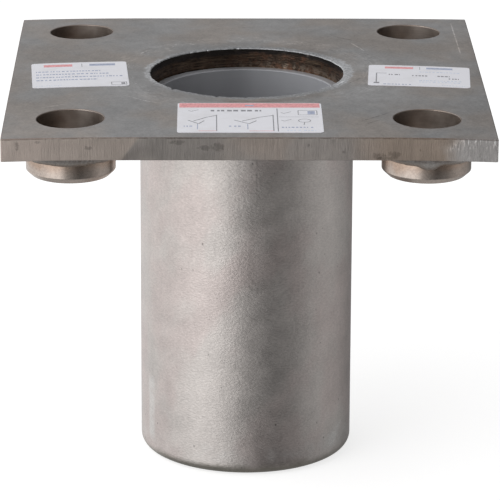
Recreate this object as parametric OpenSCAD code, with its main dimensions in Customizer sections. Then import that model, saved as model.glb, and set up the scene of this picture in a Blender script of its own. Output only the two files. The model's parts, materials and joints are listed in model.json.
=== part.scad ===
// Flush floor-mount socket for a removable mast, post or stanchion.
//
// A square steel plate lies level with the floor. A closed pipe sleeve hangs
// from its middle and is lined with plastic, so that a mast drops in and turns
// freely. Four cups welded under the corners sink the anchor nuts below the
// floor level.
//
// Millimetres. +Z is up, and the origin is the centre of the sleeve's closed
// bottom, on the surface that it stands on. The plate's front edge faces -Y.

/* [Plate] */
// Side of the square plate
plate_w = 250; // [244:1:300]
// Thickness of the plate
plate_t = 12; // [9:0.5:14]
// Chamfer that breaks the plate's outer edges
plate_chamfer = 0.5; // [0.2:0.1:1.2]

/* [Sleeve] */
// Height from the sleeve's bottom to the plate's top face
total_h = 208.5; // [160:0.5:320]
// Outside diameter of the sleeve pipe
sleeve_od = 114.3; // [108:0.1:118]
// Wall thickness of the sleeve pipe
sleeve_wall = 6.02; // [5:0.01:8]
// Diameter to which the sleeve's mouth is bored out above the liner
mouth_d = 103.5; // [103.5:0.1:108]
// Thickness of the disc that closes the sleeve
bottom_t = 9.5; // [8:0.5:14]
// Diameter of the drain hole in the bottom disc
drain_d = 12.7; // [6:0.1:20]

/* [Liner] */
// Wall thickness of the plastic liner
liner_wall = 4.5; // [3:0.1:7]
// Drop from the plate's top face to the liner's rim
liner_drop = 10.5; // [6:0.5:20]
// Lead-in chamfer inside the liner's rim
liner_lead = 0.5; // [0.3:0.1:2.5]

/* [Anchor cups] */
// Distance between neighbouring anchor holes
anchor_pitch = 182; // [176:1:186]
// Outside diameter of a cup
cup_od = 46; // [44:0.5:48]
// Diameter of the pocket for the anchor nut and its washer
pocket_d = 34.5; // [32:0.5:36]
// Height of a cup below the plate
cup_h = 17.5; // [15:0.5:26]
// Thickness of a cup's floor
cup_floor_t = 6; // [4:0.5:8]
// Chamfer round the foot of a cup
cup_chamfer = 3; // [1:0.1:4]
// Diameter of the anchor hole in a cup's floor
anchor_hole_d = 18; // [14:0.1:22]

/* [Welds] */
// Leg of the fillet weld between the sleeve and the plate
sleeve_fillet = 8; // [4:0.5:9]
// Leg of the fillet weld between a cup and the plate
cup_fillet = 7; // [4:0.5:8]
// Height to which each fillet weld crowns above its flat face
fillet_crown = 0.6; // [0.2:0.1:1]
// Depth of the pipe's end below the plate's top face
groove_drop = 3; // [2:0.5:3.5]
// Extra radius of the weld groove at the plate's top face
groove_spread = 3.4; // [2:0.1:4]
// Depth of the groove's root below the plate's top face
groove_root = 4; // [3.5:0.5:6]

/* [Labels] */
// Thickness of a self-adhesive label
label_t = 0.25; // [0.15:0.05:0.5]
// Corner radius of a label
label_r = 2.2; // [1:0.1:4]

/* [Hidden] */
sleeve_r = sleeve_od / 2;
bore_r = sleeve_r - sleeve_wall;
mouth_r = mouth_d / 2;
liner_r = bore_r - liner_wall;
plate_z = total_h - plate_t;
pipe_top_z = total_h - groove_drop;
rim_z = total_h - liner_drop;
// The corner weld at the bottom is dressed to a radius of one wall.
corner_r = sleeve_wall;
cup_r = cup_od / 2;
cup_z = plate_z - cup_h;
corner_offset = anchor_pitch / 2;
// How far a cutting tool reaches past a face.
past = 1;
// Left-right and front-rear sign of each corner.
LEFT = -1;
RIGHT = 1;
FRONT = -1;
REAR = 1;
// Centre x, centre y, width, depth and turn in degrees of each label.
instruction_place = [0.5, -90.5, 74, 53.5, 0];
identity_place = [-89, -5, 51, 51, 3.3];
inspection_place = [91.5, -7.5, 54, 42.5, -3.2];

$fn = 96;

// Puts a child at one corner of the anchor pattern.
module at_corner(side, end) {
    translate([side * corner_offset, end * corner_offset, 0]) children();
}

// Outline of a plate of this width and thickness, with broken corners.
module broken_outline(width, height) {
    c = plate_chamfer;
    w = width / 2;
    polygon([
        [-w + c, 0], [w - c, 0], [w, c], [w, height - c],
        [w - c, height], [-w + c, height], [-w, height - c], [-w, c]
    ]);
}

// Square slab with every outer edge broken.
module broken_slab() {
    intersection() {
        translate([0, 0, plate_z])
            linear_extrude(plate_t)
                translate([0, -plate_w / 2])
                    broken_outline(plate_w, plate_w);
        translate([0, plate_w / 2, plate_z])
            rotate([90, 0, 0])
                linear_extrude(plate_w)
                    broken_outline(plate_w, plate_t);
        translate([-plate_w / 2, 0, plate_z])
            rotate([90, 0, 90])
                linear_extrude(plate_w)
                    broken_outline(plate_w, plate_t);
    }
}

// Plate with the sleeve's hole, its weld groove and the four pocket holes.
module base_plate() {
    color("#8a8783")
        difference() {
            broken_slab();
            translate([0, 0, plate_z - past])
                cylinder(h = plate_t + 2 * past, r = sleeve_r);
            translate([0, 0, total_h - groove_root])
                cylinder(h = groove_root, r1 = sleeve_r, r2 = sleeve_r + groove_spread);
            for (side = [LEFT, RIGHT], end = [FRONT, REAR])
                at_corner(side, end)
                    translate([0, 0, plate_z - past])
                        cylinder(h = plate_t + 2 * past, d = pocket_d);
        }
}

// Pipe between the bottom's corner weld and the groove weld. Its mouth is bored
// out down to the liner's rim, as a seat for a dust cap.
module sleeve_tube() {
    color("#aaa39e")
        rotate_extrude()
            polygon([
                [bore_r, corner_r],
                [sleeve_r, corner_r],
                [sleeve_r, pipe_top_z],
                [mouth_r, pipe_top_z],
                [mouth_r, rim_z],
                [bore_r, rim_z]
            ]);
}

// Disc that closes the sleeve, with a drain hole.
module sleeve_bottom() {
    color("#8f8984")
        difference() {
            cylinder(h = bottom_t, r = bore_r);
            translate([0, 0, -past])
                cylinder(h = bottom_t + 2 * past, d = drain_d);
        }
}

// Plastic bush that stands on the disc, with a lead-in for the mast.
module sleeve_liner() {
    color("#c9ccd2")
        difference() {
            translate([0, 0, bottom_t])
                cylinder(h = rim_z - bottom_t, r = bore_r);
            translate([0, 0, bottom_t - past])
                cylinder(h = rim_z - bottom_t + 2 * past, r = liner_r);
            translate([0, 0, rim_z - liner_lead])
                cylinder(h = liner_lead, r1 = liner_r, r2 = liner_r + liner_lead);
        }
}

// Weld on the pipe's end, dressed flush with the plate's top face.
module sleeve_groove_weld() {
    color("#9a9894")
        rotate_extrude()
            polygon([
                [mouth_r, pipe_top_z],
                [sleeve_r, pipe_top_z],
                [sleeve_r, total_h - groove_root],
                [sleeve_r + groove_spread, total_h],
                [mouth_r, total_h]
            ]);
}

// Fillet weld of equal legs below the plate, round a post of radius post_r.
module fillet_weld(post_r, leg) {
    chord = leg * sqrt(2);
    crown_r = (chord * chord / 4 + fillet_crown * fillet_crown) / (2 * fillet_crown);
    // The crown's centre lies on the diagonal, on the root's side of the face.
    inset = leg / 2 - (crown_r - fillet_crown) / sqrt(2);
    rotate_extrude()
        intersection() {
            translate([post_r, plate_z - leg])
                square([leg, leg]);
            translate([post_r + inset, plate_z - inset])
                circle(r = crown_r, $fn = 360);
        }
}

module sleeve_fillet_weld() {
    color("#87827e") fillet_weld(sleeve_r, sleeve_fillet);
}

// Corner weld between the pipe and the disc, dressed to a radius.
module sleeve_bottom_weld() {
    color("#9d9691")
        rotate_extrude()
            intersection() {
                translate([bore_r, 0])
                    square([sleeve_wall, corner_r]);
                translate([sleeve_r - corner_r, corner_r])
                    circle(r = corner_r);
            }
}

// Turned cup with a pocket for the nut and a hole for the anchor.
module anchor_cup() {
    color("#a08c7f")
        difference() {
            rotate_extrude()
                polygon([
                    [0, cup_z],
                    [cup_r - cup_chamfer, cup_z],
                    [cup_r, cup_z + cup_chamfer],
                    [cup_r, plate_z],
                    [0, plate_z]
                ]);
            translate([0, 0, cup_z + cup_floor_t])
                cylinder(h = cup_h, d = pocket_d);
            translate([0, 0, cup_z - past])
                cylinder(h = cup_h, d = anchor_hole_d);
        }
}

module cup_weld() {
    color("#7d7874") fillet_weld(cup_r, cup_fillet);
}

// Rectangle with round corners, centred on the origin.
module rounded_rectangle(width, depth, r) {
    square([width - 2 * r, depth], center = true);
    square([width, depth - 2 * r], center = true);
    for (x = [-1, 1], y = [-1, 1])
        translate([x * (width / 2 - r), y * (depth / 2 - r)])
            circle(r = r);
}

// Printed label on the plate's top face, at a place from the list above.
module plate_label(place) {
    color("#dcdde2")
        translate([place[0], place[1], total_h])
            rotate([0, 0, place[4]])
                linear_extrude(label_t)
                    rounded_rectangle(place[2], place[3], label_r);
}

base_plate();
sleeve_tube();
sleeve_bottom();
sleeve_liner();
sleeve_groove_weld();
sleeve_fillet_weld();
sleeve_bottom_weld();
at_corner(LEFT, FRONT) anchor_cup();  // anchor_cup_front_left
at_corner(RIGHT, FRONT) anchor_cup();  // anchor_cup_front_right
at_corner(LEFT, REAR) anchor_cup();  // anchor_cup_rear_left
at_corner(RIGHT, REAR) anchor_cup();  // anchor_cup_rear_right
at_corner(LEFT, FRONT) cup_weld();  // cup_weld_front_left
at_corner(RIGHT, FRONT) cup_weld();  // cup_weld_front_right
at_corner(LEFT, REAR) cup_weld();  // cup_weld_rear_left
at_corner(RIGHT, REAR) cup_weld();  // cup_weld_rear_right
plate_label(instruction_place);  // instruction_label
plate_label(identity_place);  // identity_label
plate_label(inspection_place);  // inspection_label
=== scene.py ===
"""Looks of a flush floor-mount socket: a steel weldment with a lined sleeve, four cups and three labels."""

import json
import math
import random

import bmesh
import bpy
from mathutils import Matrix, Vector, noise


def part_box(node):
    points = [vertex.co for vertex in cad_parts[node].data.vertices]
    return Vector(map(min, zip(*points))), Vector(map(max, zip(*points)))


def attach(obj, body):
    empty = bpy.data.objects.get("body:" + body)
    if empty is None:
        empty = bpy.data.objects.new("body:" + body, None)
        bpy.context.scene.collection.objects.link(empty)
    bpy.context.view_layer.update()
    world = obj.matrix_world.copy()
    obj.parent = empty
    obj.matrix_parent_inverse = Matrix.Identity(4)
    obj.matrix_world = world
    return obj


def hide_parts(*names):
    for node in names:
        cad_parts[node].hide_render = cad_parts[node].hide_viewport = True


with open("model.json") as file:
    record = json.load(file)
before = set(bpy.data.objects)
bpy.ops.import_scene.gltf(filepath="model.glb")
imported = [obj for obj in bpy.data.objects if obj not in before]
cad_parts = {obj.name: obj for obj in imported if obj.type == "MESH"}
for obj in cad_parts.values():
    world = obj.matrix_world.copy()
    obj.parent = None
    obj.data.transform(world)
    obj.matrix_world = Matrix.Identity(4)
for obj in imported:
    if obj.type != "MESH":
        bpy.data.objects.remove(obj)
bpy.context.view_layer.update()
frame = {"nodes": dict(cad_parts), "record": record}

MM = 0.001

# ---- sizes, all read from the frame

MOUNTS = {mount["name"]: mount for mount in frame["record"]["mounts"]}
CORNERS = {"front_left": (-1, -1), "front_right": (1, -1), "rear_left": (-1, 1), "rear_right": (1, 1)}


def mount_radius(name, key="r_mm"):
    """Radius of a mount's holes, in metres."""
    return MOUNTS[name]["dims"][key] * MM


plate_low, plate_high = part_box("base_plate")
tube_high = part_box("sleeve_tube")[1]
liner_low, liner_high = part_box("sleeve_liner")
cup_low, cup_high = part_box("anchor_cup_front_left")
groove_low, groove_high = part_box("sleeve_groove_weld")
fillet_low, fillet_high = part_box("sleeve_fillet_weld")
cup_weld_low, cup_weld_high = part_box("cup_weld_front_left")

plate_half = plate_high.x
plate_top = plate_high.z
plate_under = plate_low.z
sleeve_r = tube_high.x
pipe_top = tube_high.z
groove_r = groove_high.x
groove_root = groove_low.z
rim_z = liner_high.z
liner_outer_r = liner_high.x
liner_r = mount_radius("mast_socket")
liner_lead = rim_z - MOUNTS["mast_socket"]["pos_m"][2]
mouth_r = mount_radius("sleeve_mouth")
pocket_r = mount_radius("nut_pocket_front_left")
anchor_r = mount_radius("floor_anchors", "hole_r_mm")
corner_offset = MOUNTS["floor_anchors"]["dims"]["spacing_x_mm"] * MM / 2
cup_r = (cup_high.x - cup_low.x) / 2
cup_bottom = cup_low.z
cup_floor = MOUNTS["floor_anchors"]["pos_m"][2]
cup_leg = cup_weld_high.z - cup_weld_low.z
sleeve_leg = fillet_high.z - fillet_low.z
pipe_middle_r = (mouth_r + sleeve_r) / 2
edge_middle = (plate_top + plate_under) / 2

# ---- mesh helpers


def smoothstep(value, low, high):
    """0 below low, 1 above high, and a smooth rise between them."""
    t = min(1, max(0, (value - low) / (high - low)))
    return t * t * (3 - 2 * t)


BOW_START = 0.03  # distance from the middle, each way, past which the plate bows down
EDGE_BOW = 0.0012  # how far the middle of each edge lies below the middle of the plate


def bow_share(offset):
    """0 in the middle of the plate and 1 at its edge."""
    return max(0, (abs(offset) - BOW_START) / (plate_half - BOW_START)) ** 3


def sag(x, y):
    """How far the welds below have drawn the plate down, most of all at its corners."""
    across, along = bow_share(x), bow_share(y)
    stiff = 0.0002 if y < 0 else 0.0004 + 0.0003 * x / plate_half
    return EDGE_BOW * (across + along) - stiff * across * along


def arc(r, z, radius, start, end, steps=4):
    """Points on an arc round (r, z), from one angle to another, in degrees."""
    angles = [math.radians(start + (end - start) * i / steps) for i in range(steps + 1)]
    return [(r + radius * math.cos(a), z + radius * math.sin(a)) for a in angles]


def new_piece(mesh, materials, node):
    """Turns a mesh into a piece of the same name that stands for a CAD node."""
    for material in materials:
        mesh.materials.append(material)
    piece = bpy.data.objects.new(mesh.name, mesh)
    bpy.context.scene.collection.objects.link(piece)
    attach(piece, "root")
    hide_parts(node)
    return piece


def shade_smooth(mesh, crease=35):
    """Smooth shading with a crease wherever two faces meet at more than this angle, in degrees."""
    mesh.polygons.foreach_set("use_smooth", [True] * len(mesh.polygons))
    mesh.set_sharp_from_angle(angle=math.radians(crease))


def even_normals(piece):
    """Keeps the shading of large faces flat beside narrow rounded edges."""
    modifier = piece.modifiers.new("even_normals", "WEIGHTED_NORMAL")
    modifier.keep_sharp = True
    modifier.weight = 100


def lathe(name, profile, steps, centre=(0, 0), bend=None, slot_of=None):
    """Closed ring mesh: a closed profile of (r, z) points turned about a vertical axis through centre.

    bend(angle, index, r, z) may move a point. slot_of(index) gives the material of the band after a point.
    """
    verts, faces, slots = [], [], []
    count = len(profile)
    for step in range(steps):
        angle = 2 * math.pi * step / steps
        for index, (r, z) in enumerate(profile):
            if bend:
                r, z = bend(angle, index, r, z)
            verts.append((centre[0] + r * math.cos(angle), centre[1] + r * math.sin(angle), z))
    for step in range(steps):
        here, there = step * count, (step + 1) % steps * count
        for index in range(count):
            after = (index + 1) % count
            faces.append((here + index, there + index, there + after, here + after))
            slots.append(slot_of(index) if slot_of else 0)
    mesh = bpy.data.meshes.new(name)
    mesh.from_pydata(verts, [], faces)
    mesh.polygons.foreach_set("material_index", slots)
    mesh.update()
    return mesh


# ---- material helpers


class Nodes:
    """A node tree, with a short call for each kind of node that the looks below use."""

    def __init__(self, tree):
        self.nodes = tree.nodes
        self.links = tree.links

    def new(self, kind, **settings):
        node = self.nodes.new("ShaderNode" + kind)
        for name, value in settings.items():
            setattr(node, name, value)
        return node

    def feed(self, socket, value):
        """Sets a socket, or links another socket to it."""
        if isinstance(value, bpy.types.NodeSocket):
            self.links.new(value, socket)
        elif isinstance(value, tuple) and len(value) == 3 and socket.type == "RGBA":
            socket.default_value = (*value, 1)
        else:
            socket.default_value = value

    def split(self, vector):
        """The three coordinates of a place or direction."""
        node = self.new("SeparateXYZ")
        self.feed(node.inputs[0], vector)
        return node.outputs

    def combine(self, x, y, z):
        node = self.new("CombineXYZ")
        for socket, value in zip(node.inputs, (x, y, z)):
            self.feed(socket, value)
        return node.outputs[0]

    def grey(self, value):
        """The same number in all three channels."""
        return self.combine(value, value, value)

    def math(self, operation, *values):
        """Maths on two values, and on the result and the next value if there are more."""
        result, *others = values
        for other in others or (0.0,):
            node = self.new("Math", operation=operation)
            self.feed(node.inputs[0], result)
            self.feed(node.inputs[1], other)
            result = node.outputs[0]
        return result

    def add(self, *values):
        return self.math("ADD", *values)

    def times(self, *values):
        return self.math("MULTIPLY", *values)

    def rise(self, value, low, high):
        """0 at low and 1 at high, with a smooth step between. low may be above high."""
        node = self.new("MapRange", interpolation_type="SMOOTHSTEP")
        self.feed(node.inputs["Value"], value)
        ends = (low, high, 0, 1) if low < high else (high, low, 1, 0)
        for name, end in zip(("From Min", "From Max", "To Min", "To Max"), ends):
            node.inputs[name].default_value = end
        return node.outputs["Result"]

    def band(self, value, start, full, fading, gone):
        """Rises from start to full, and falls again from fading to gone."""
        return self.times(self.rise(value, start, full), self.rise(value, gone, fading))

    def scaled(self, value, low, high):
        """Maps 0..1 to low..high."""
        return self.add(self.times(value, high - low), low)

    def gap(self, value, centre):
        """How far a value is from a centre."""
        return self.math("ABSOLUTE", self.add(value, -centre))

    def mix(self, factor, a, b, kind="MIX"):
        node = self.new("Mix", data_type="RGBA", blend_type=kind)
        for socket, value in zip((node.inputs["Factor"], node.inputs[6], node.inputs[7]), (factor, a, b)):
            self.feed(socket, value)
        return node.outputs[2]


class Shader(Nodes):
    """One material, in the object's own coordinates."""

    def __init__(self, name):
        self.material = bpy.data.materials.new(name)
        self.material.use_nodes = True
        super().__init__(self.material.node_tree)
        self.surface = self.nodes["Principled BSDF"]
        self.place = self.new("TexCoord").outputs["Object"]
        self.x, self.y, self.z = self.split(self.place)

    def set(self, name, value):
        """Sets one of the surface's own inputs."""
        self.feed(self.surface.inputs[name], value)

    def paint(self, tint, tone):
        """Colours the surface with a tint times a tone, both of them colours."""
        self.set("Base Color", self.mix(1, tint, tone, "MULTIPLY"))

    def stretch(self, x, y, z, vector=None):
        node = self.new("VectorMath", operation="MULTIPLY")
        self.feed(node.inputs[0], vector or self.place)
        node.inputs[1].default_value = (x, y, z)
        return node.outputs[0]

    def noise(self, size, detail=3.0, rough=0.5, vector=None, offset=0.0):
        """Noise from 0 to 1 whose blobs are about this size, in metres."""
        node = self.new("TexNoise", noise_dimensions="4D")
        self.feed(node.inputs["Vector"], vector or self.place)
        settings = {"W": offset, "Scale": 1 / size, "Detail": detail, "Roughness": rough}
        for name, value in settings.items():
            node.inputs[name].default_value = value
        return node.outputs["Fac"]

    def patches(self, size, low, high, **settings):
        """Noise turned into soft patches: 0 outside, 1 inside."""
        return self.rise(self.noise(size, **settings), low, high)

    def bump(self, height, depth, normal=None):
        """Relief: a height from 0 to 1 stands for this depth, in metres."""
        node = self.new("Bump")
        node.inputs["Strength"].default_value = 1
        node.inputs["Distance"].default_value = depth
        self.feed(node.inputs["Height"], height)
        if normal:
            self.feed(node.inputs["Normal"], normal)
        return node.outputs[0]

    def radius(self):
        """Distance from the sleeve's axis."""
        return self.math("SQRT", self.add(self.times(self.x, self.x), self.times(self.y, self.y)))

    def bearing(self):
        """Angle round the sleeve's axis, with its cosine and sine."""
        angle = self.math("ARCTAN2", self.y, self.x)
        return angle, self.math("COSINE", angle), self.math("SINE", angle)

    def flat_z(self):
        """Height on the plate as if its edges didn't bow down."""
        shares = []
        for axis in (self.x, self.y):
            past = self.times(self.add(self.gap(axis, 0), -BOW_START), 1 / (plate_half - BOW_START))
            shares.append(self.math("POWER", self.math("MAXIMUM", past, 0), 3))
        return self.add(self.z, self.times(self.add(*shares), EDGE_BOW))

    def spot(self, height, x, up, wide, tall):
        """1 in the middle of a ragged stain on the front face, and 0 outside it."""
        across = self.times(self.add(self.x, -x), 1 / wide)
        rise = self.times(self.add(height, -up), 1 / tall)
        ragged = self.scaled(self.noise(0.0016, detail=4, rough=0.7, offset=x), -2.2, 2.2)
        reach = self.add(self.times(across, across), self.times(rise, rise), ragged)
        return self.rise(reach, 1.0, 0.1)

    def line_mark(self, begin, finish, width):
        """1 along a straight scratch on a level face, and 0 beside it."""
        along = Vector(finish) - Vector(begin)
        ux, uy = along.normalized()
        dx, dy = self.add(self.x, -begin[0]), self.add(self.y, -begin[1])
        forward = self.add(self.times(dx, ux), self.times(dy, uy))
        aside = self.gap(self.add(self.times(dx, -uy), self.times(dy, ux)), 0)
        start = self.rise(forward, 0, 0.2 * along.length)
        end = self.rise(forward, along.length, 0.8 * along.length)
        return self.times(start, end, self.rise(aside, width, 0.3 * width))


# ---- materials


def metal(name, colour, roughness):
    """Shader of bare metal. Its colour and roughness are numbers or sockets, set later where they vary."""
    s = Shader(name)
    s.set("Metallic", 1.0)
    s.set("Base Color", colour)
    s.set("Roughness", roughness)
    return s


def plate_steel():
    """Dull mill-finish plate, mottled and scratched, with a ground ring and halo round the sleeve's mouth."""
    s = metal("plate_steel", (0.3, 0.3, 0.3), 0.5)
    cloud = s.patches(0.045, 0.30, 0.70, detail=4, rough=0.6, offset=1)
    mottle = s.patches(0.008, 0.28, 0.72, detail=5, rough=0.65, offset=2)
    grain = s.patches(0.0013, 0.28, 0.72, detail=3, rough=0.7, offset=3)
    tone = s.add(s.scaled(cloud, 0.91, 1.08), s.scaled(mottle, -0.08, 0.08), s.scaled(grain, -0.11, 0.11))
    # Painted shade darkens it towards the front right corner; it is also paler along the front.
    painted_shade_corner = s.rise(s.add(s.x, s.times(s.y, -1)), 0.10, 0.24)
    tone = s.add(tone, s.times(painted_shade_corner, -0.10), s.times(s.rise(s.y, -0.07, -0.105), 0.06))
    warm = s.patches(0.04, 0.38, 0.62, detail=4, offset=4)
    tint = s.mix(warm, (0.348, 0.344, 0.346), (0.352, 0.322, 0.302))
    # Streaks that the grinding disc left round the mouth: fine across, long along the circle.
    radius = s.radius()
    angle, cosine, sine = s.bearing()
    swirl = s.combine(s.times(radius, 1100), s.times(cosine, 11), s.times(sine, 11))
    streak = s.rise(s.noise(1, detail=3, rough=0.65, vector=swirl, offset=5), 0.34, 0.68)
    wander = s.scaled(s.noise(0.012, detail=3, rough=0.6, offset=6), -0.012, 0.012)
    ragged = s.add(radius, wander)
    halo = s.band(ragged, 0.056, 0.068, 0.066, 0.086)
    tone = s.add(tone, s.times(halo, s.scaled(streak, -0.10, 0.22)))
    belt = s.band(ragged, 0.06, 0.065, 0.071, 0.078)
    dashes = s.patches(1, 0.60, 0.66, detail=3, rough=0.6, vector=s.stretch(0.55, 1.6, 1.6, swirl), offset=7)
    behind = s.rise(s.add(s.times(s.x, -0.6), s.y), -0.02, 0.05)
    tone = s.add(tone, s.times(belt, dashes, s.scaled(behind, 0.22, 0.68)))
    # The dressed weld itself: scuffed bright, with a painted highlight that makes it bright and broad left
    # and right, and painted shade that makes it faint in front and behind.
    uneven = s.scaled(s.noise(0.005, detail=5, rough=0.7, offset=8), -0.0055, 0.0055)
    edge = s.add(radius, uneven, s.times(cosine, -0.0012))
    ring = s.rise(edge, mouth_r + 0.005, mouth_r + 0.0028)
    painted_highlight_sides = s.rise(s.times(cosine, cosine), 0.45, 0.95)
    tone = s.add(tone, s.times(s.rise(ragged, 0.07, 0.06), s.scaled(painted_highlight_sides, -0.15, 0.0)))
    scuffs_and_painted_highlight = s.scaled(s.patches(0.0013, 0.36, 0.64, detail=3, rough=0.75, offset=9), 0.78, 1.42)
    scuffs_and_painted_highlight = s.times(scuffs_and_painted_highlight, s.scaled(painted_highlight_sides, 0.88, 1.42))
    tone = s.mix(ring, s.grey(tone), s.grey(scuffs_and_painted_highlight))
    tint = s.mix(ring, tint, (0.338, 0.342, 0.352))
    # Painted highlight: a bright, patchy line along the mouth's lip, strongest in front.
    lip = s.rise(radius, mouth_r + MM, mouth_r + 0.2 * MM)
    lip = s.times(lip, s.patches(0.004, 0.40, 0.55, detail=3, offset=12))
    in_front = s.scaled(s.rise(s.y, 0.01, -0.02), 0.06, 0.55)
    tone = s.mix(s.times(lip, in_front), tone, (2.1, 2.1, 2.1))
    broken = s.patches(0.003, 0.35, 0.60, detail=3, rough=0.7, offset=10)
    for marks, strength in ((LIGHT_MARKS, 0.9), (DARK_MARKS, -0.40)):
        for x0, y0, x1, y1, width in marks:
            line = s.line_mark((x0 * MM, y0 * MM), (x1 * MM, y1 * MM), width * MM)
            tone = s.mix(1, tone, s.grey(s.times(line, broken, strength)), "ADD")
    s.paint(tint, tone)
    s.set("Roughness", s.add(s.scaled(mottle, 0.46, 0.58), s.times(ring, -0.06)))
    relief = s.bump(s.noise(0.03, detail=3, offset=11), 0.0003)
    relief = s.bump(grain, 0.00004, relief)
    s.set("Normal", s.bump(s.times(halo, streak), 0.00003, relief))
    return s.material


# Scratches on the plate's top: start x, y, end x, y and half width, in millimetres from the middle.
LIGHT_MARKS = [
    (116, 119, 117, 38, 0.5),
    (-59, -55, -43, -65, 0.5),
    (-65, -47, -51, -61, 0.4),
    (-96, 74, -75, 89, 0.4),
    (65, 45, 57, 66, 0.5),
    (59, -24, 70, -16, 0.4),
    (-108, -71, -94, -64, 0.4),
    (46.5, -27.5, 51.5, -17.5, 0.9),
    (24, -51.5, 31, -47, 0.6),
    (-77, -124.6, -75, -124.6, 1.0),
]
DARK_MARKS = [
    (56, -98, 73, -80, 0.6),
    (59, -102, 67, -94, 0.6),
    (-22, 95, 12, 103, 0.5),
    (47, 81, 63, 66, 0.6),
    (53, -24, 61, -11, 0.6),
]


def sawn_edge(front):
    """Cut face of the plate, with upright saw marks. The front one has zones of other finish and stains."""
    s = metal("front_edge_steel" if front else "sawn_edge_steel", (0.3, 0.3, 0.3), 0.45)
    cuts = s.patches(1, 0.28, 0.72, detail=4, rough=0.75, vector=s.stretch(1900, 1900, 150), offset=20)
    broad = s.patches(1, 0.25, 0.75, detail=2, vector=s.stretch(260, 260, 40), offset=21)
    cloud = s.patches(0.014, 0.25, 0.75, detail=4, rough=0.6, offset=22)
    tone = s.add(s.scaled(cuts, 0.93, 1.06), s.scaled(broad, -0.04, 0.04), s.scaled(cloud, -0.09, 0.09))
    tint = s.mix(s.patches(0.035, 0.42, 0.60, offset=23), (0.445, 0.385, 0.345), (0.41, 0.375, 0.352))
    height = s.add(s.flat_z(), -edge_middle)
    if front:
        # A paler left end, cut off by a slanting line; a dull stretch; a brown one; a ground right end.
        slant = s.add(s.x, s.times(height, -0.75))
        left = s.rise(slant, -0.059, -0.0612)
        dark_wedge = s.band(slant, -0.0612, -0.059, -0.056, -0.043)
        dull = s.band(s.x, -0.061, -0.044, -0.02, 0)
        right = s.rise(s.add(s.x, s.scaled(cloud, -0.004, 0.004)), 0.096, 0.108)
        brown = s.band(s.x, 0.049, 0.071, 0.098, 0.11)
        tint = s.mix(dull, tint, (0.345, 0.318, 0.298))
        pale = s.mix(s.rise(s.x, -0.112, -0.078), (0.56, 0.482, 0.434), (0.478, 0.415, 0.372))
        tint = s.mix(left, tint, pale)
        tint = s.mix(brown, tint, (0.425, 0.348, 0.292))
        tint = s.mix(right, tint, (0.555, 0.532, 0.52))
        tone = s.add(tone, s.times(dark_wedge, s.scaled(s.rise(height, 0.005, -0.002), -0.05, -0.26)))
        strokes = s.patches(1, 0.50, 0.60, detail=3, rough=0.6, vector=s.stretch(1300, 1300, 200), offset=24)
        near_top = s.rise(s.add(height, s.scaled(cloud, -0.003, 0.003)), -0.001, 0.003)
        tone = s.add(tone, s.times(right, strokes, s.scaled(near_top, 0.15, 0.95)))
        for stain in EDGE_STAINS:
            x, up, wide, tall = (length * MM for length in stain)
            tone = s.add(tone, s.times(s.spot(height, x, up, wide, tall), -0.30))
    # The arris along the top is rolled over, and darkened with painted shade.
    arris = s.rise(s.add(height, s.scaled(broad, -0.0002, 0.0002)), 0.0052, 0.0058)
    tone = s.mix(s.times(arris, 0.85), s.grey(tone), (0.40, 0.37, 0.36))
    s.paint(tint, tone)
    s.set("Roughness", s.scaled(broad, 0.38, 0.52))
    s.set("Normal", s.bump(cuts, 0.00005))
    return s.material


# Stains on the front face, in millimetres: x, height above its middle, half width and half height.
EDGE_STAINS = [
    (-116.7, 2.6, 1.1, 2.6), (-106.8, 4.0, 2.2, 0.9), (-80.7, 0.6, 2.8, 1.2), (-22.0, 0.6, 4.6, 1.7),
    (-36.0, 3.4, 4.4, 1.3), (-15.5, 1.0, 3.0, 2.6), (64.5, -3.5, 4.0, 1.8), (72.8, -2.8, 3.6, 2.2),
    (67.9, -4.8, 8.0, 1.0), (85.6, -0.3, 0.6, 0.8), (29.5, 2.0, 0.8, 1.0), (47.2, -1.5, 1.0, 0.8),
]


def bored_steel():
    """Wall of a drilled or bored hole: browned by the welding beside it, with fine rings, and painted shade
    on its left.
    """
    s = metal("bored_steel", (0.3, 0.3, 0.3), 0.34)
    rings = s.noise(1, detail=3, rough=0.6, vector=s.stretch(60, 60, 1900), offset=30)
    cloud = s.noise(0.01, detail=3, offset=31)
    tint = s.mix(s.rise(cloud, 0.3, 0.7), (0.36, 0.30, 0.26), (0.53, 0.465, 0.42))
    # Painted shade lies on the left of each hole.
    across = s.add(s.x, s.times(s.math("SIGN", s.x), -corner_offset))
    painted_shade_left = s.rise(across, -0.0035, -0.012)
    tone = s.times(s.scaled(rings, 0.80, 1.20), s.scaled(painted_shade_left, 1.0, 0.46))
    s.paint(tint, s.grey(tone))
    s.set("Roughness", s.scaled(cloud, 0.40, 0.52))
    s.set("Normal", s.bump(rings, 0.00004))
    return s.material


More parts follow.
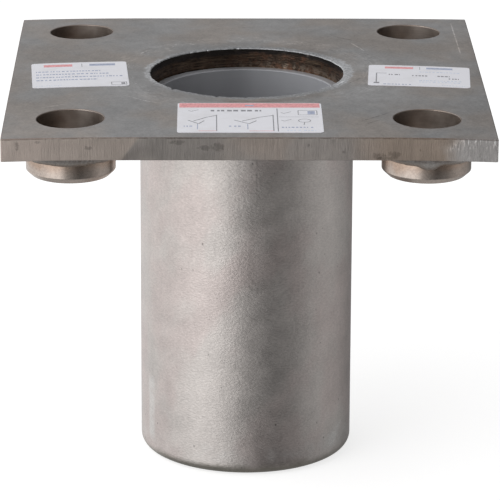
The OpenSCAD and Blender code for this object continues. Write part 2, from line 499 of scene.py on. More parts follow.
def burnt_look(s):
    """Colour and relief of the mouth's inside: black at the weld, then brown and straw in level streaks."""
    angle, cosine, sine = s.bearing()
    level = s.combine(s.times(cosine, 5), s.times(sine, 5), s.times(s.z, 1400))
    streak = s.noise(1, detail=4, rough=0.65, vector=level, offset=40)
    right = s.rise(s.x, -0.022, 0.025)
    ragged = s.scaled(s.noise(0.008, detail=5, rough=0.7, offset=41), -0.003, 0.003)
    height = s.add(s.z, ragged, s.times(right, -0.0012))
    brown = s.mix(s.rise(streak, 0.38, 0.62), (0.085, 0.06, 0.048), (0.31, 0.225, 0.16))
    patch = s.patches(0.014, 0.42, 0.60, detail=4, rough=0.6, offset=43)
    brown = s.mix(s.times(patch, 0.6), brown, (0.08, 0.062, 0.054))
    rust = s.patches(0.004, 0.47, 0.60, detail=4, rough=0.7, offset=42)
    brown = s.mix(s.times(rust, s.scaled(right, 0.30, 0.90)), brown, (0.27, 0.155, 0.105))
    straw = s.patches(0.003, 0.46, 0.60, detail=4, rough=0.7, offset=44)
    straw = s.times(s.rise(s.z, rim_z + 0.006, rim_z + 0.001), straw, s.scaled(right, 0.20, 0.75))
    brown = s.mix(straw, brown, (0.48, 0.38, 0.30))
    # Painted shade: the left of the mouth's inside is darker.
    brown = s.mix(1, brown, s.grey(s.scaled(right, 0.64, 0.90)), "MULTIPLY")
    colour = s.mix(s.rise(height, plate_top - 0.0048, plate_top - 0.003), brown, (0.058, 0.05, 0.047))
    return colour, streak


def sleeve_steel():
    """Pickled satin pipe: warm and grey patches, fine grain, pits, water marks, and a burnt mouth."""
    s = metal("sleeve_steel", (0.6, 0.55, 0.52), 0.45)
    lean = s.combine(s.add(s.x, s.times(s.z, -0.35)), s.y, s.times(s.z, 0.62))
    patch = s.patches(0.03, 0.42, 0.58, detail=4, rough=0.5, vector=lean, offset=50)
    streaks = s.patches(1, 0.25, 0.75, detail=3, vector=s.stretch(190, 190, 32), offset=49)
    mottle = s.patches(0.009, 0.28, 0.72, detail=4, rough=0.6, offset=51)
    grain = s.patches(1, 0.30, 0.70, detail=3, rough=0.7, vector=s.stretch(620, 620, 1300), offset=52)
    tint = s.mix(patch, (0.614, 0.546, 0.523), (0.60, 0.56, 0.535))
    stains = s.patches(0.02, 0.25, 0.75, detail=3, offset=53)
    tone = s.add(s.scaled(mottle, 0.94, 1.05), s.scaled(grain, -0.115, 0.095), s.scaled(stains, -0.05, 0.05))
    across = s.times(s.add(s.z, s.times(s.x, -0.8)), 75)
    wiped = s.combine(across, s.times(s.add(s.x, s.z), 14), s.times(s.y, 25))
    wipes = s.patches(1, 0.35, 0.72, detail=4, rough=0.55, vector=wiped, offset=48)
    tone = s.add(tone, s.scaled(streaks, -0.025, 0.025), s.scaled(wipes, -0.025, 0.035), s.times(patch, 0.03))
    # Painted shade: it darkens towards the foot, most of all on the right.
    painted_shade_low_right = s.times(s.rise(s.z, 0.028, 0.004), s.rise(s.x, -0.01, 0.02))
    tone = s.times(tone, s.scaled(s.rise(s.z, -0.03, 0.19), 0.86, 1.02), s.scaled(painted_shade_low_right, 1.0, 0.88))
    # Water marks: a pale tide line above the foot, and two runs that climb from it.
    angle = s.bearing()[0]
    wave = s.scaled(s.noise(0.018, detail=3, offset=54), -0.009, 0.009)
    height = s.add(s.z, wave)
    blotches = s.patches(0.016, 0.40, 0.56, offset=55)
    tide = s.times(s.band(height, 0.006, 0.011, 0.012, 0.017), blotches)
    runs = s.times(s.rise(s.gap(angle, -2.68), 0.085, 0.03), s.rise(s.gap(s.z, 0.028), 0.02, 0.014))
    smear = s.rise(s.gap(s.add(angle, s.times(s.z, -14)), -0.80), 0.11, 0.03)
    runs = s.add(runs, s.times(smear, s.rise(s.gap(s.z, 0.014), 0.009, 0.004)))
    pale = s.add(s.times(tide, 0.50), s.times(runs, s.patches(0.01, 0.30, 0.55, offset=56)))
    tint = s.mix(s.times(pale, 0.75), tint, (0.74, 0.72, 0.70))
    # The rounded foot is olive, and darker with painted shade where it meets the floor.
    foot = s.rise(s.add(s.z, s.scaled(mottle, -0.001, 0.001)), 0.0075, 0.002)
    foot = s.times(foot, s.rise(s.radius(), 0.047, 0.053))
    tint = s.mix(s.times(foot, 0.8), tint, (0.30, 0.28, 0.235))
    # Pits and stains: a dot in each large cell, in some of them only.
    for scale, far, near, seed in ((75, 0.06, 0.025, 57), (170, 0.11, 0.05, 60)):
        cells = s.new("TexVoronoi")
        s.feed(cells.inputs["Vector"], s.stretch(1, 1, 0.8))
        cells.inputs["Scale"].default_value = scale
        some = s.patches(0.03, 0.50, 0.53, offset=seed)
        tone = s.add(tone, s.times(s.rise(cells.outputs["Distance"], far, near), some, -0.42))
    # A thin brown run below the plate, in front.
    drip = s.times(s.rise(s.gap(angle, -1.49), 0.01, 0.003), s.rise(s.z, 0.15, 0.18))
    tone = s.add(tone, s.times(drip, s.patches(0.004, 0.4, 0.6, offset=58), -0.30))
    outside = s.mix(1, tint, s.grey(tone), "MULTIPLY")
    burnt, streak = burnt_look(s)
    inside = s.times(s.rise(s.radius(), pipe_middle_r, pipe_middle_r - 0.5 * MM), s.rise(s.z, 0.15, 0.16))
    s.set("Base Color", s.mix(inside, outside, burnt))
    s.set("Roughness", s.add(s.scaled(mottle, 0.32, 0.42), s.times(pale, 0.08)))
    relief = s.bump(s.noise(0.028, detail=2, offset=59), 0.0004)
    s.set("Normal", s.bump(grain, 0.00007, relief))
    return s.material


def burnt_steel():
    """Inside of the groove weld, above the pipe's end."""
    s = metal("burnt_steel", (0.05, 0.04, 0.03), 0.5)
    colour, streak = burnt_look(s)
    s.set("Base Color", colour)
    s.set("Normal", s.bump(streak, 0.0002))
    return s.material


def cup_steel():
    """Turned cup: satin, with fine rings, and tinted straw and brown by the weld above."""
    s = metal("cup_steel", (0.6, 0.52, 0.46), 0.3)
    rings = s.noise(1, detail=3, rough=0.6, vector=s.stretch(70, 70, 2300), offset=60)
    cloud = s.noise(0.012, detail=4, rough=0.55, offset=61)
    grain = s.noise(0.0012, detail=2, offset=62)
    heat = s.rise(s.add(s.z, s.scaled(cloud, -0.009, 0.009)), cup_bottom + 0.003, cup_bottom + 0.01)
    tint = s.mix(s.rise(cloud, 0.3, 0.7), (0.455, 0.382, 0.335), (0.54, 0.48, 0.44))
    tint = s.mix(s.times(heat, 0.85), tint, (0.43, 0.315, 0.245))
    # Painted reflection: the chamfer round the cup's foot is paler.
    tint = s.mix(s.rise(s.z, cup_bottom + 0.0032, cup_bottom + 0.0026), tint, (0.70, 0.60, 0.53))
    tone = s.add(s.scaled(rings, 0.90, 1.10), s.scaled(s.rise(grain, 0.3, 0.7), -0.09, 0.09))
    s.paint(tint, s.grey(tone))
    s.set("Roughness", s.scaled(cloud, 0.20, 0.31))
    s.set("Normal", s.bump(rings, 0.00003))
    return s.material


def weld_steel():
    """Rippled weld metal: dark grey-brown, which is partly painted shade under the plate, with a pale line
    along its lower toe.
    """
    s = metal("weld_steel", (0.4, 0.4, 0.4), 0.42)
    cloud = s.noise(0.005, detail=4, rough=0.6, offset=70)
    grain = s.noise(0.0008, detail=2, offset=71)
    tint = s.mix(s.rise(cloud, 0.35, 0.65), (0.25, 0.215, 0.195), (0.38, 0.355, 0.34))
    toe = s.rise(s.add(s.z, s.scaled(cloud, -0.001, 0.001)), plate_under - 0.0038, plate_under - 0.0058)
    tint = s.mix(s.times(toe, 0.8), tint, (0.56, 0.53, 0.50))
    tone = s.scaled(s.rise(grain, 0.3, 0.7), 0.84, 1.16)
    s.paint(tint, s.grey(tone))
    s.set("Roughness", s.scaled(cloud, 0.36, 0.52))
    s.set("Normal", s.bump(cloud, 0.00025, s.bump(grain, 0.00006)))
    return s.material


def liner_plastic():
    """Smooth light grey plastic, with faint turning rings and cloudy tone, and painted light and shade at its
    end and in its bore.
    """
    s = Shader("liner_plastic")
    rings = s.noise(1, detail=2, vector=s.stretch(30, 30, 900), offset=80)
    cloud = s.noise(0.03, detail=3, offset=81)
    colour = s.mix(cloud, (0.30, 0.305, 0.325), (0.36, 0.365, 0.385))
    # Painted shade darkens its flat end; painted light brightens its bore left and right, and a narrow
    # upright band of painted shade darkens the back.
    end = s.rise(s.radius(), liner_r + 0.1 * liner_lead, liner_r + 0.8 * liner_lead)
    tone = s.add(s.scaled(rings, 0.96, 1.04), s.times(end, -0.40))
    painted_light_sides = s.add(s.times(s.rise(s.x, -0.004, 0.036), 0.15), s.times(s.rise(s.x, -0.01, -0.034), 0.13))
    painted_shade_stripe = s.times(s.rise(s.gap(s.x, -0.006), 0.013, 0.001), s.rise(s.y, 0, 0.02), -0.13)
    tone = s.add(tone, painted_light_sides, painted_shade_stripe)
    # Painted shade: the bore darkens deeper down.
    tone = s.times(tone, s.scaled(s.rise(s.z, rim_z - 0.02, rim_z), 0.84, 1.0))
    s.paint(colour, s.grey(tone))
    s.set("Roughness", s.scaled(cloud, 0.30, 0.42))
    s.set("Normal", s.bump(rings, 0.00003))
    return s.material


def label_film():
    """White polyester film, slightly glossy, with soft waves and faint soiling."""
    s = Shader("label_film")
    soil = s.noise(0.012, detail=4, rough=0.6, offset=90)
    s.set("Base Color", s.mix(s.rise(soil, 0.45, 0.75), (0.80, 0.80, 0.85), (0.74, 0.735, 0.77)))
    s.set("Roughness", s.scaled(soil, 0.34, 0.46))
    s.set("Normal", s.bump(s.noise(0.009, detail=2, offset=91), 0.00004))
    return s.material


def label_ink(name, colour):
    """Matt printing ink, slightly uneven."""
    s = Shader(name)
    wear = s.noise(0.0012, detail=3, rough=0.6, offset=95)
    paler = tuple(min(1, 1.35 * channel + 0.04) for channel in colour)
    s.set("Base Color", s.mix(s.rise(wear, 0.35, 0.70), colour, paler))
    s.set("Roughness", 0.5)
    return s.material


SLOT_LOOKS = (plate_steel, sleeve_steel, cup_steel, weld_steel, liner_plastic, label_film)
LOOKS = {look.__name__: look() for look in SLOT_LOOKS}
FRONT_EDGE = sawn_edge(front=True)
SAWN_EDGE = sawn_edge(front=False)
BORED = bored_steel()
BURNT = burnt_steel()
for row in frame["record"]["subparts"]:
    cad_mesh = frame["nodes"][row["node"]].data
    cad_mesh.materials.clear()
    cad_mesh.materials.append(LOOKS[row["material_slot"]])

# ---- plate

CELL = 0.067  # half the side of the square of faces round the sleeve's hole
CELL_STEPS = 24  # faces along each side of a cell
CELL_RINGS = (0, 0.1, 0.3, 0.6, 1)  # rings of faces between a hole and its cell's border
EDGE_ROUND = 0.0005
SHARP = math.radians(60)  # edges of the plate that turn by more than this are rounded


class PlateMesh:
    """Quads laid in nine cells, five of them round a hole, so that every hole is a clean ring of faces."""

    TOP, FRONT, SIDE, HOLE = range(4)

    def __init__(self):
        self.mesh = bmesh.new()
        self.verts = {}

    def vert(self, x, y, z):
        key = (round(x, 7), round(y, 7), round(z, 7))
        if key not in self.verts:
            self.verts[key] = self.mesh.verts.new((x, y, z))
        return self.verts[key]

    def strip(self, first, second, slot, closed=True):
        """Faces between two rows of points."""
        count = len(first) if closed else len(first) - 1
        for i in range(count):
            j = (i + 1) % len(first)
            face = self.mesh.faces.new([self.vert(*p) for p in (first[i], first[j], second[j], second[i])])
            face.material_index = slot

    def holed_cell(self, low, high, centre, radius, z):
        """A rectangle with a round hole. Returns the points round the hole."""
        rows = []
        for t in CELL_RINGS:
            row = []
            for x, y in border(low, high):
                angle = math.atan2(y - centre[1], x - centre[0])
                rim = (centre[0] + radius * math.cos(angle), centre[1] + radius * math.sin(angle))
                row.append((rim[0] + (x - rim[0]) * t, rim[1] + (y - rim[1]) * t, z))
            rows.append(row)
        for first, second in zip(rows, rows[1:]):
            self.strip(first, second, self.TOP)
        return rows[0]

    def plain_cell(self, low, high, z):
        rows = [[(x, y, z) for x in spread(low[0], high[0])] for y in spread(low[1], high[1])]
        for first, second in zip(rows, rows[1:]):
            self.strip(first, second, self.TOP, closed=False)


def spread(start, end):
    """Even steps between the two sides of a cell."""
    return [start + (end - start) * i / CELL_STEPS for i in range(CELL_STEPS + 1)]


def border(low, high):
    """Points round a rectangle, one for each step of its four sides."""
    xs, ys = spread(low[0], high[0]), spread(low[1], high[1])
    bottom = [(x, low[1]) for x in xs[:-1]]
    right = [(high[0], y) for y in ys[:-1]]
    top = [(x, high[1]) for x in reversed(xs[1:])]
    left = [(low[0], y) for y in reversed(ys[1:])]
    return bottom + right + top + left


def make_plate():
    plate = PlateMesh()
    rims = {}
    stops = (-plate_half, -CELL, CELL, plate_half)
    for z, mouth in ((plate_top, groove_r), (plate_under, sleeve_r)):
        for i in range(3):
            for j in range(3):
                low, high = (stops[i], stops[j]), (stops[i + 1], stops[j + 1])
                if i == 1 and j == 1:
                    rims[z, i, j] = plate.holed_cell(low, high, (0, 0), mouth, z)
                elif i != 1 and j != 1:
                    centre = ((i - 1) * corner_offset, (j - 1) * corner_offset)
                    rims[z, i, j] = plate.holed_cell(low, high, centre, pocket_r, z)
                else:
                    plate.plain_cell(low, high, z)
    for i in (0, 2):
        for j in (0, 2):
            plate.strip(rims[plate_top, i, j], rims[plate_under, i, j], plate.HOLE)
    root = [(x, y, groove_root) for x, y, z in rims[plate_under, 1, 1]]
    plate.strip(rims[plate_top, 1, 1], root, plate.HOLE)
    plate.strip(root, rims[plate_under, 1, 1], plate.HOLE)
    run = sorted({p for a, b in zip(stops, stops[1:]) for p in spread(a, b)})
    for side in (-plate_half, plate_half):
        upper, lower = ([(x, side, z) for x in run] for z in (plate_top, plate_under))
        plate.strip(upper, lower, plate.FRONT if side < 0 else plate.SIDE, False)
        upper, lower = ([(side, y, z) for y in run] for z in (plate_top, plate_under))
        plate.strip(upper, lower, plate.SIDE, False)
    bmesh.ops.recalc_face_normals(plate.mesh, faces=plate.mesh.faces)
    corners = [edge for edge in plate.mesh.edges if edge.calc_face_angle(0) > SHARP]
    outer = [edge for edge in corners if edge.verts[0].co.xy.length > groove_r + MM]
    bmesh.ops.bevel(plate.mesh, geom=outer, offset=EDGE_ROUND, segments=3, profile=0.5, affect="EDGES",
                    clamp_overlap=True, material=-1)
    for face in plate.mesh.faces:
        if face.material_index == plate.TOP and abs(face.normal.z) < 0.99:
            face.material_index = plate.FRONT if face.normal.y < -0.2 else plate.SIDE
    for vert in plate.mesh.verts:
        vert.co.z -= sag(vert.co.x, vert.co.y)
    mesh = bpy.data.meshes.new("plate_with_sawn_edges")
    plate.mesh.to_mesh(mesh)
    plate.mesh.free()
    shade_smooth(mesh)
    materials = [LOOKS["plate_steel"], FRONT_EDGE, SAWN_EDGE, BORED]
    even_normals(new_piece(mesh, materials, "base_plate"))


make_plate()

# ---- turned pieces and welds

RIM_STEPS = 256
CUP_STEPS = 96
RIPPLE = 0.0021  # from one ripple of a weld to the next
FRONT = 1.5 * math.pi  # the angle at which a turned piece faces the camera


def wobble(angle, size, seed):
    """Smooth noise from about -1 to 1 that closes round a circle. size is the number of waves, roughly."""
    return noise.noise(Vector((math.cos(angle) * size / 2, math.sin(angle) * size / 2, seed)))


def droop_with_plate(mesh, level=None):
    """Lets a piece below the plate follow its corners down: all of it, or less and less towards a level."""
    for vert in mesh.vertices:
        share = 1 if level is None else (vert.co.z - level) / (plate_under - level)
        vert.co.z -= share * sag(vert.co.x, vert.co.y)


def make_groove_weld():
    """Flush ring of weld: its inner lip is torn and uneven, as the grinder left it."""
    lip = 0.0004
    profile = [(mouth_r, z) for z in (pipe_top, plate_top - 4 * lip, plate_top - lip)]
    profile += [(r, plate_top) for r in (mouth_r + lip, mouth_r + 3 * MM, groove_r)]
    profile += [(sleeve_r, groove_root), (sleeve_r, pipe_top)]
    burnt = (0, 1, 7)

    def bend(angle, index, r, z):
        tear = 0.00035 * wobble(angle, 60, 3.1) + 0.0003 * wobble(angle, 14, 7.7)
        tear += 0.0009 * smoothstep(wobble(angle, 46, 5.3), 0.30, 0.55)
        if index in (2, 3):
            return r - 0.0002 + tear, z - 0.4 * abs(tear)
        return r, z

    mesh = lathe("dressed_groove_weld", profile, RIM_STEPS, bend=bend, slot_of=lambda i: int(i in burnt))
    shade_smooth(mesh)
    new_piece(mesh, [LOOKS["plate_steel"], BURNT], "sleeve_groove_weld")


def make_bead(name, node, centre, post_r, leg, seed, droop=0.0):
    """Fillet weld round a post below the plate: a crowned bead with ripples and uneven toes.

    droop is how far one lump in front runs down the post.
    """
    points = 10
    shares = [i / points for i in range(points + 1)]
    profile = [(post_r + leg * share, plate_under - leg * (1 - share)) for share in shares]
    profile.append((post_r, plate_under))
    ripple_count = round(2 * math.pi * post_r / RIPPLE)

    def bend(angle, index, r, z):
        if index > points:
            return r, z
        across = index / points
        wall_leg = leg * (0.95 + 0.11 * wobble(angle, 5, seed) + 0.035 * wobble(angle, 22, seed + 2))
        wall_leg += droop * math.exp(-((angle - FRONT) / 0.20) ** 4)
        plate_leg = leg * (0.90 + 0.10 * wobble(angle, 6, seed + 4))
        crown = math.sin(math.pi * across)
        ripple = math.cos(ripple_count * angle + 2.2 * crown + 1.3 * wobble(angle, 30, seed + 6))
        proud = crown * (0.0007 + 0.00012 * ripple + 0.0002 * wobble(angle, 20, seed + 8)) * math.sqrt(0.5)
        return post_r + plate_leg * across + proud, plate_under - wall_leg * (1 - across) - proud

    mesh = lathe(name, profile, 5 * ripple_count, centre, bend)
    droop_with_plate(mesh)
    shade_smooth(mesh, 50)
    new_piece(mesh, [LOOKS["weld_steel"]], node)


def make_cup(name, node, centre):
    """Turned cup with softened edges, a flat floor for the washer and a drilled hole."""
    chamfer, soft, corner = 0.003, 0.0005, 0.0008
    profile = [(anchor_r, cup_floor - soft), (anchor_r, cup_bottom + soft), (anchor_r + soft, cup_bottom)]
    profile += arc(cup_r - chamfer - soft, cup_bottom + 2 * soft, 2 * soft, -90, -45, 3)
    profile += arc(cup_r - 2 * soft, cup_bottom + chamfer + soft, 2 * soft, -45, 0, 3)
    profile += [(cup_r, plate_under), (pocket_r, plate_under)]
    profile += arc(pocket_r - corner, cup_floor + corner, corner, 0, -90, 4)
    profile += [(anchor_r + soft, cup_floor)]
    inside = {0, *range(len(profile) - 7, len(profile))}
    mesh = lathe(name, profile, CUP_STEPS, centre, slot_of=lambda i: int(i in inside))
    droop_with_plate(mesh, cup_bottom)
    shade_smooth(mesh)
    even_normals(new_piece(mesh, [LOOKS["cup_steel"], BORED], node))


def make_liner():
    """Plastic bush with a softened lead-in."""
    soft, foot = 0.0002, liner_low.z
    profile = [(liner_r, foot), (liner_outer_r, foot)]
    profile += [(liner_outer_r, rim_z - soft), (liner_outer_r - soft, rim_z)]
    profile += arc(liner_r + liner_lead + soft, rim_z - soft, soft, 90, 135, 3)
    profile += arc(liner_r + 2 * soft, rim_z - liner_lead - soft, 2 * soft, 135, 180, 3)
    mesh = lathe("bush_with_lead_in", profile, RIM_STEPS)
    shade_smooth(mesh)
    even_normals(new_piece(mesh, [LOOKS["liner_plastic"]], "sleeve_liner"))


make_groove_weld()
make_liner()
make_bead("rippled_sleeve_weld", "sleeve_fillet_weld", (0, 0), sleeve_r, sleeve_leg, 11.5)
for count, (corner, (side, end)) in enumerate(CORNERS.items()):
    place = (side * corner_offset, end * corner_offset)
    make_cup("turned_cup_" + corner, "anchor_cup_" + corner, place)
    droop = 0.0016 if corner == "front_right" else 0.0
    weld = "cup_weld_" + corner
    make_bead("rippled_" + weld, weld, place, cup_r, cup_leg, 20.5 + 10 * count, droop)

# ---- labels

LABEL_CORNER = 0.0022
INK_LIFT = 0.00003
STRIPS = 10  # cuts across each half of a label
FILM, DARK, RED, BLUE, PALE = range(5)
INKS = [
    LOOKS["label_film"],
    label_ink("dark_ink", (0.20, 0.20, 0.22)),
    label_ink("red_ink", (0.64, 0.27, 0.285)),
    label_ink("blue_ink", (0.30, 0.335, 0.45)),
    label_ink("pale_blue_ink", (0.48, 0.54, 0.66)),
]


class Label:
    """A film with raised print. Places on it are fractions: across from the left, down from the rear."""

    def __init__(self, node, turn, seed):
        low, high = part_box(node)
        self.node = node
        self.rng = random.Random(seed)
        self.centre = (low + high) / 2
        self.top = high.z
        self.film_top = high.z - INK_LIFT
        self.turn = math.radians(turn)
        # The node's box holds the turned rectangle: undo the turn for its own width and depth.
        corner = 2 * LABEL_CORNER
        across, along = high.x - low.x - corner, high.y - low.y - corner
        c, s = math.cos(self.turn), abs(math.sin(self.turn))
        self.width = (across * c - along * s) / (c * c - s * s) + corner
        self.depth = (along * c - across * s) / (c * c - s * s) + corner
        self.mesh = bmesh.new()
        outline = rounded_outline(self.width, self.depth, LABEL_CORNER)
        outline = [(x / self.width + 0.5, 0.5 - y / self.depth) for x, y in outline]
        self.prism(outline, low.z, self.film_top, FILM)

    def prism(self, outline, low, high, ink):
        """Closed upright prism over an outline of places."""
        rings = ([], [])
        for z, ring in zip((low, high), rings):
            for u, v in outline:
                x, y = (u - 0.5) * self.width, (0.5 - v) * self.depth
                east = x * math.cos(self.turn) - y * math.sin(self.turn)
                north = x * math.sin(self.turn) + y * math.cos(self.turn)
                ring.append(self.mesh.verts.new((self.centre.x + east, self.centre.y + north, z)))
        faces = [self.mesh.faces.new(rings[0]), self.mesh.faces.new(rings[1])]
        for i in range(len(outline)):
            j = (i + 1) % len(outline)
            faces.append(self.mesh.faces.new((rings[0][i], rings[0][j], rings[1][j], rings[1][i])))
        for face in faces:
            face.material_index = ink

    def print(self, outline, ink):
        self.prism(outline, self.film_top - INK_LIFT, self.top, ink)

    def bar(self, left, rear, right, front, ink=DARK):
        self.print([(left, rear), (right, rear), (right, front), (left, front)], ink)

    def stroke(self, points, width=0.0004, ink=DARK):
        """Straight strokes from point to point, this wide in metres."""
        for (u0, v0), (u1, v1) in zip(points, points[1:]):
            run = Vector(((u1 - u0) * self.width, (v1 - v0) * self.depth)).normalized() * width / 2
            du, dv = -run.y / self.width, run.x / self.depth
            self.print([(u0 + du, v0 + dv), (u1 + du, v1 + dv), (u1 - du, v1 - dv), (u0 - du, v0 - dv)], ink)

    def frame(self, left, rear, right, front, width=0.0004, ink=DARK):
        for v in (rear, front):
            self.stroke([(left, v), (right, v)], width, ink)
        for u in (left, right):
            self.stroke([(u, rear), (u, front)], width, ink)

    def dashes(self, left, right, middle, height, ink=DARK, longest=0.034):
        """A row of short dashes that stands for a line of print."""
        at = left
        while at < right:
            length = self.rng.uniform(0.35, 1.0) * longest
            self.bar(at, middle - height / 2, min(at + length, right), middle + height / 2, ink)
            at += length + self.rng.choice((0.01, 0.01, 0.02))

    def bend_with_plate(self):
        """Cuts the label into strips both ways, and lays them on the bowed plate."""
        reach = self.width / 2 + self.depth / 2
        for normal in ((1, 0, 0), (0, 1, 0)):
            for step in range(-STRIPS, STRIPS + 1):
                place = self.centre + Vector(normal) * reach * step / STRIPS
                parts = self.mesh.verts[:] + self.mesh.edges[:] + self.mesh.faces[:]
                bmesh.ops.bisect_plane(self.mesh, geom=parts, plane_co=place, plane_no=normal)
        for vert in self.mesh.verts:
            vert.co.z -= sag(vert.co.x, vert.co.y)

    def finish(self):
        bmesh.ops.recalc_face_normals(self.mesh, faces=self.mesh.faces)
        self.bend_with_plate()
        mesh = bpy.data.meshes.new("printed_" + self.node)
        self.mesh.to_mesh(mesh)
        self.mesh.free()
        new_piece(mesh, INKS, self.node)


def rounded_outline(width, depth, radius, steps=6):
    """Points round a rectangle with rounded corners, centred on nothing."""
    points = []
    for quarter, (side, end) in enumerate(((1, 1), (-1, 1), (-1, -1), (1, -1))):
        centre = (side * (width / 2 - radius), end * (depth / 2 - radius))
        points += arc(*centre, radius, 90 * quarter, 90 * quarter + 90, steps)
    return points


def header(label, bars):
    """Two plain bars with an upright line between them, where the marks of makers would stand."""
    (red_left, red_right), line, (blue_left, blue_right) = bars
    label.bar(red_left, 0.075, red_right, 0.165, RED)
    label.stroke([(line, 0.06), (line, 0.19)], 0.0003)
    label.bar(blue_left, 0.075, blue_right, 0.155, BLUE)


def make_identity_label():
    label = Label("identity_label", 3.3, 31)
    header(label, ((0.13, 0.43), 0.53, (0.61, 0.88)))
    for middle, right in ((0.36, 0.72), (0.475, 0.80), (0.59, 0.94), (0.705, 0.68)):
        label.dashes(0.045, right, middle, 0.034, BLUE)
    label.frame(0.82, 0.84, 0.975, 0.95)
    label.bar(0.92, 0.86, 0.96, 0.93)
    label.dashes(0.04, 0.30, 0.93, 0.018, PALE, 0.02)
    label.finish()


def make_inspection_label():
    label = Label("inspection_label", -3.2, 32)
    header(label, ((0.16, 0.44), 0.505, (0.57, 0.83)))
    label.stroke([(0.18, 0.40), (0.08, 0.40), (0.08, 0.84)], 0.0006)
    label.bar(0.055, 0.84, 0.11, 0.90)
    words = ((0.20, 0.31, 0.46), (0.43, 0.58, 0.49), (0.68, 0.80, 0.49), (0.79, 0.89, 0.60))
    for left, right, middle in words:
        label.dashes(left, right, middle, 0.045)
    for right, middle in ((0.90, 0.30), (0.92, 0.72), (0.90, 0.79)):
        label.dashes(0.50, right, middle, 0.022, PALE)
    label.dashes(0.15, 0.42, 0.93, 0.03, BLUE)
    label.dashes(0.72, 0.95, 0.93, 0.015, PALE, 0.02)
    label.finish()


def make_instruction_label():
    """Coloured strip, two line drawings of a leaning arm, and a narrow panel of small signs."""
    label = Label("instruction_label", 0, 33)
    label.bar(0.012, 0.012, 0.988, 0.165, RED)
    label.bar(0.47, 0.075, 0.53, 0.115, BLUE)
    label.stroke([(0.075, 0.275), (0.095, 0.30), (0.145, 0.245)])
    label.dashes(0.23, 0.58, 0.275, 0.05)
    for left, right in ((0.045, 0.27), (0.355, 0.66)):
        stops = (0.12, 0.30, 0.42, 0.45, 0.62, 0.70)
        foot, elbow, stem, knee, bend, wrist = (left + stop * (right - left) for stop in stops)
        label.stroke([(right, 0.42), (right, 0.95)], 0.0005)
        label.stroke([(knee, 0.95), (right, 0.95)], 0.0005, RED)
        label.stroke([(foot, 0.60), (knee, 0.72), (bend, 0.62)], 0.0006)
        label.stroke([(elbow, 0.63), (wrist, 0.50), (right, 0.44)], 0.0006)
        label.stroke([(stem, 0.73), (stem, 0.90)], 0.0004, BLUE)
        label.dashes(left, elbow, 0.80, 0.03, BLUE, 0.02)
    label.stroke([(0.69, 0.20), (0.69, 0.965)], 0.0005)
    for v in (0.34, 0.60):
        label.stroke([(0.715, v), (0.735, v + 0.03), (0.785, v - 0.03)])
    label.frame(0.835, 0.27, 0.965, 0.42)
    label.bar(0.90, 0.29, 0.95, 0.40, BLUE)
    label.stroke([(0.70, 0.49), (0.975, 0.49)], 0.0003)
    turns = [step * math.pi / 8 for step in range(17)]
    label.stroke([(0.875 + 0.042 * math.cos(turn), 0.615 + 0.055 * math.sin(turn)) for turn in turns])
    label.stroke([(0.875, 0.67), (0.868, 0.755)])
    label.dashes(0.715, 0.95, 0.835, 0.03, BLUE, 0.02)
    label.dashes(0.75, 0.96, 0.93, 0.018, PALE, 0.02)
    label.finish()


make_identity_label()
make_inspection_label()
make_instruction_label()

# ---- stage, light and camera


def make_floor():
    """Pale floor for the eye only: the part is lit by the studio all round it."""
    size, drop = 12, -0.0004
    corners = [(-size, -size, drop), (size, -size, drop), (size, size, drop), (-size, size, drop)]
    mesh = bpy.data.meshes.new("floor")
    mesh.from_pydata(corners, [], [(0, 1, 2, 3)])
    shader = Shader("floor_paint")
    shader.set("Base Color", (0.45, 0.45, 0.45))
    shader.set("Emission Color", (1, 1, 1))
    shader.set("Emission Strength", 0.75)
    shader.set("Roughness", 0.9)
    shader.set("Specular IOR Level", 0.0)
    mesh.materials.append(shader.material)
    floor = bpy.data.objects.new("floor", mesh)
    floor.visible_glossy = False
    floor.visible_diffuse = False
    floor.visible_shadow = False
    bpy.context.scene.collection.objects.link(floor)


def make_world():
    """Studio: white walls from the left to behind, a dark gap by the camera and a dim card on the right."""
    world = bpy.data.worlds.new("studio")
    bpy.context.scene.world = world
    world.use_nodes = True
    w = Nodes(world.node_tree)
    x, y, z = w.split(w.new("TexCoord").outputs["Generated"])
    azimuth = w.math("ARCTAN2", x, w.times(y, -1))
    walls = w.new("ValToRGB")
    walls.color_ramp.interpolation = "EASE"
    w.feed(walls.inputs["Fac"], w.add(w.times(azimuth, 0.5 / math.pi), 0.5))
    ramp = walls.color_ramp.elements
    while len(ramp) < len(STUDIO_WALLS):
        ramp.new(0.5)
    for element, (degrees, level) in zip(ramp, STUDIO_WALLS):
        element.position = (degrees + 180) / 360
        element.color = (level, level, level, 1)
    light = w.mix(w.rise(z, *CEILING_HEIGHTS), walls.outputs["Color"], (CEILING,) * 3)
    light = w.mix(w.rise(z, *PIT_HEIGHTS), light, (PIT,) * 3)
    shade = w.times(w.rise(x, *SHADE_ACROSS), w.rise(z, *SHADE_UP))
    light = w.mix(shade, light, (SHADE,) * 3, "MULTIPLY")
    seen = w.new("LightPath").outputs["Is Camera Ray"]
    w.feed(w.nodes["Background"].inputs["Color"], w.mix(seen, light, (BACKDROP,) * 3))


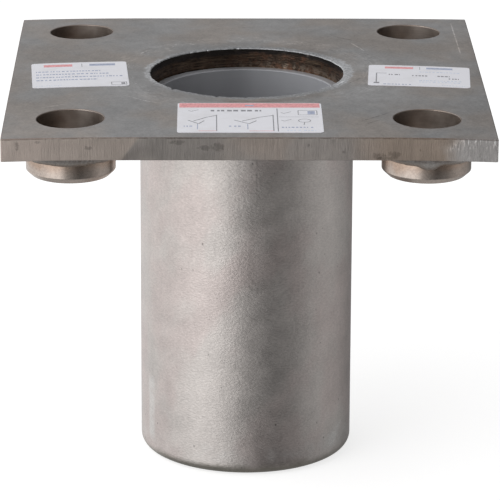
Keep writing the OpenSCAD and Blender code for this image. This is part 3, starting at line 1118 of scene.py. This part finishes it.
# Brightness of the studio's walls by direction in degrees: 0 is the camera's side, -90 the left.
STUDIO_WALLS = [
    (-180, 0.45), (-150, 0.94), (-110, 0.95), (-78, 1.03), (-52, 1.36), (-28, 1.36), (-9, 0.38),
    (24, 0.10), (48, 0.22), (88, 0.55), (118, 0.43), (150, 0.20), (180, 0.45),
]
# Where the ceiling and the pit below start and are full, as heights of a direction, and how bright they are.
CEILING_HEIGHTS, CEILING = (0.45, 0.85), 1.0
PIT_HEIGHTS, PIT = (-0.45, -0.75), 0.35
# The studio's upper right is darker: where that starts and is full, across and up, and what is left there.
SHADE_ACROSS, SHADE_UP, SHADE = (-0.1, 0.6), (0.1, 0.4), 0.35
BACKDROP = 0.9  # what the camera sees behind everything


def softbox(name, place, aim, size, power):
    """Square area light at a place, aimed at a point."""
    light = bpy.data.lights.new(name, "AREA")
    light.shape = "SQUARE"
    light.size = size
    light.energy = power
    holder = bpy.data.objects.new(name, light)
    holder.visible_camera = False
    holder.location = place
    holder.rotation_euler = (Vector(aim) - Vector(place)).to_track_quat("-Z", "Y").to_euler()
    bpy.context.scene.collection.objects.link(holder)


CAMERA_PLACE = (-0.0224, -1.8802, 0.7003)
CAMERA_TURNS = (0.744, 17.458, -0.249)  # to the right, down and clockwise, in degrees
CAMERA_LENS = 261.9  # focal length in millimetres, on a sensor 36 mm wide


def make_camera():
    """Long lens, a little left of the middle, looking down at the plate."""
    yaw, pitch, roll = (math.radians(turn) for turn in CAMERA_TURNS)
    ahead = Vector((math.sin(yaw) * math.cos(pitch), math.cos(yaw) * math.cos(pitch), -math.sin(pitch)))
    level = Vector((math.cos(yaw), -math.sin(yaw), 0))
    down = ahead.cross(level)
    right = level * math.cos(roll) + down * math.sin(roll)
    up = level * math.sin(roll) - down * math.cos(roll)
    camera = bpy.data.objects.new("camera", bpy.data.cameras.new("camera"))
    camera.data.sensor_width = 36
    camera.data.lens = CAMERA_LENS
    rotation = Matrix((right, up, -ahead)).transposed().to_4x4()
    camera.matrix_world = Matrix.Translation(CAMERA_PLACE) @ rotation
    bpy.context.scene.collection.objects.link(camera)
    bpy.context.scene.camera = camera


make_floor()
make_world()
softbox("key_light", (-1.3, -1.1, 1.7), (0, 0, 0.15), 1.2, 12)
make_camera()
bpy.context.scene.view_settings.view_transform = "Standard"
